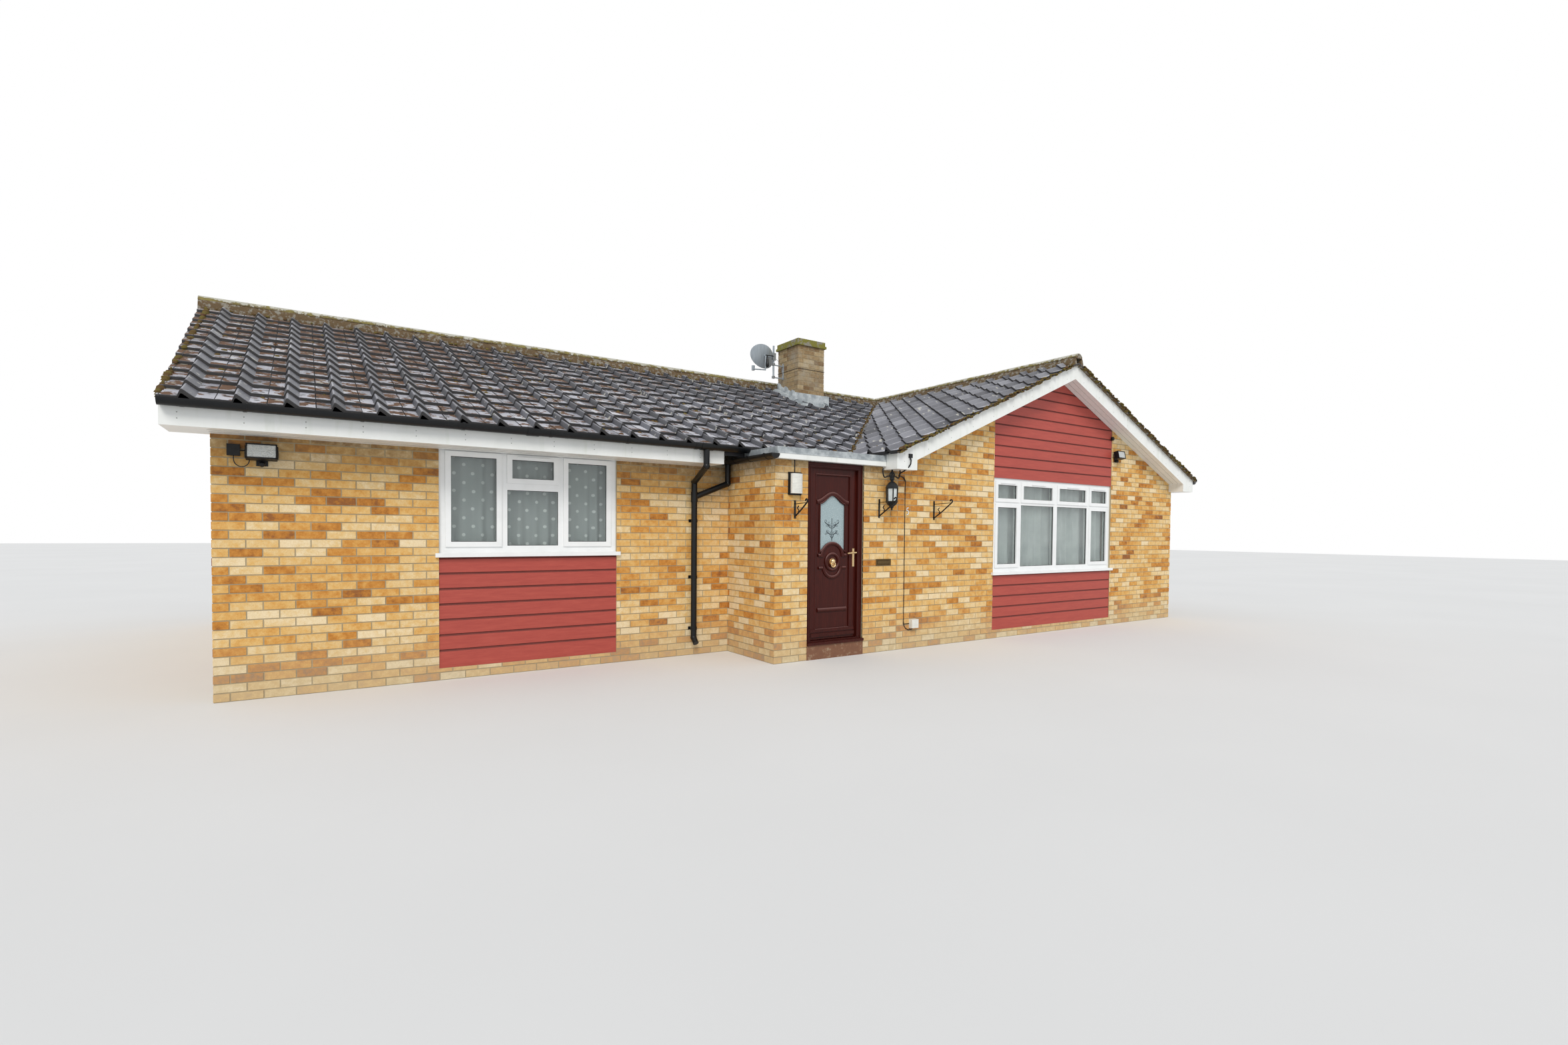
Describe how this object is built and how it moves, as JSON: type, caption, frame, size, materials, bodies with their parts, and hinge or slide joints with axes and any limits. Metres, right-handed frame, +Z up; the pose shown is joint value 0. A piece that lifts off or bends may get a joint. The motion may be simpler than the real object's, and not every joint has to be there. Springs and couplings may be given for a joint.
{
  "type": "bungalow",
  "caption": "One storey buff brick house: a main range crossed by a gabled wing, tiled roofs, a recessed porch under a flat lead canopy, red boards under the windows and an opening front door.",
  "frame": {"origin": "the main range's left street corner at ground level", "axes": "+X runs right along the street front, +Y into the house, +Z up"},
  "size_m": [13.896, 8.87, 4.7699],
  "materials": {
    "brickwork": "buff stretcher bond brick with pale mortar",
    "concrete": "floated concrete",
    "plaster": "painted plasterboard on joists",
    "threshold": "brown painted concrete step",
    "roof_tiles": "weathered concrete tiles with lichen and moss",
    "ridge_tiles": "half round concrete tiles in mortar",
    "lead": "dull weathered lead sheet",
    "white_upvc": "white extruded boards and frames",
    "black_upvc": "black extruded rainwater goods",
    "stack_brick": "weathered buff brick",
    "stack_cap": "mossy cast concrete",
    "grey_steel": "grey powder coat and zinc",
    "window_glass": "sealed clear glass units",
    "red_boards": "deep red painted shiplap boards",
    "rosewood_upvc": "dark rosewood foil",
    "door_glass": "obscured glass",
    "gold_brass": "bright gold lacquer",
    "black_metal": "black paint",
    "light_plastic": "light grey moulded plastic",
    "aged_plate": "tarnished plate"
  },
  "bodies": {
    "house": {"floor_slab": "concrete", "ceiling": "plaster", "front_wall_left": "brickwork", "left_gable_wall": "brickwork", "rear_wall": "brickwork", "right_wall": "brickwork", "wing_front_wall": "brickwork", "wing_rear_wall": "brickwork", "porch_side_wall": "brickwork", "door_pier_left": "brickwork", "door_pier_right": "brickwork", "door_threshold": "threshold", "roof_main_front": "roof_tiles", "roof_main_rear": "roof_tiles", "roof_wing_front_left": "roof_tiles", "roof_wing_rear_left": "roof_tiles", "roof_wing_right": "roof_tiles", "ridge_tiles": "ridge_tiles", "lead_flashings": "lead", "fascias": "white_upvc", "soffits": "white_upvc", "bargeboards": "white_upvc", "gutters": "black_upvc", "downpipes": "black_upvc", "canopy_roof": "lead", "chimney_stack": "stack_brick", "chimney_cap": "stack_cap", "satellite_dish": "grey_steel", "window_left_frame": "white_upvc", "window_left_glass": "window_glass", "window_gable_frame": "white_upvc", "window_gable_glass": "window_glass", "rear_window_frames": "white_upvc", "rear_window_glass": "window_glass", "cladding_boards": "red_boards", "door_frame": "rosewood_upvc", "floodlights": "black_metal", "bulkhead_light": "light_plastic", "porch_lantern": "black_metal", "basket_brackets": "black_metal", "wall_plates": "aged_plate", "outside_socket": "light_plastic"},
    "door_leaf": {"front_door": "rosewood_upvc", "door_glass": "door_glass", "door_brassware": "gold_brass"}
  },
  "joints": [
    {"name": "front_door_hinge", "type": "hinge", "parent": "house", "child": "door_leaf", "pos_m": [5.3385, -0.895, 1.2], "axis": [0, 0, 1], "range_deg": [0, 90]}
  ]
}
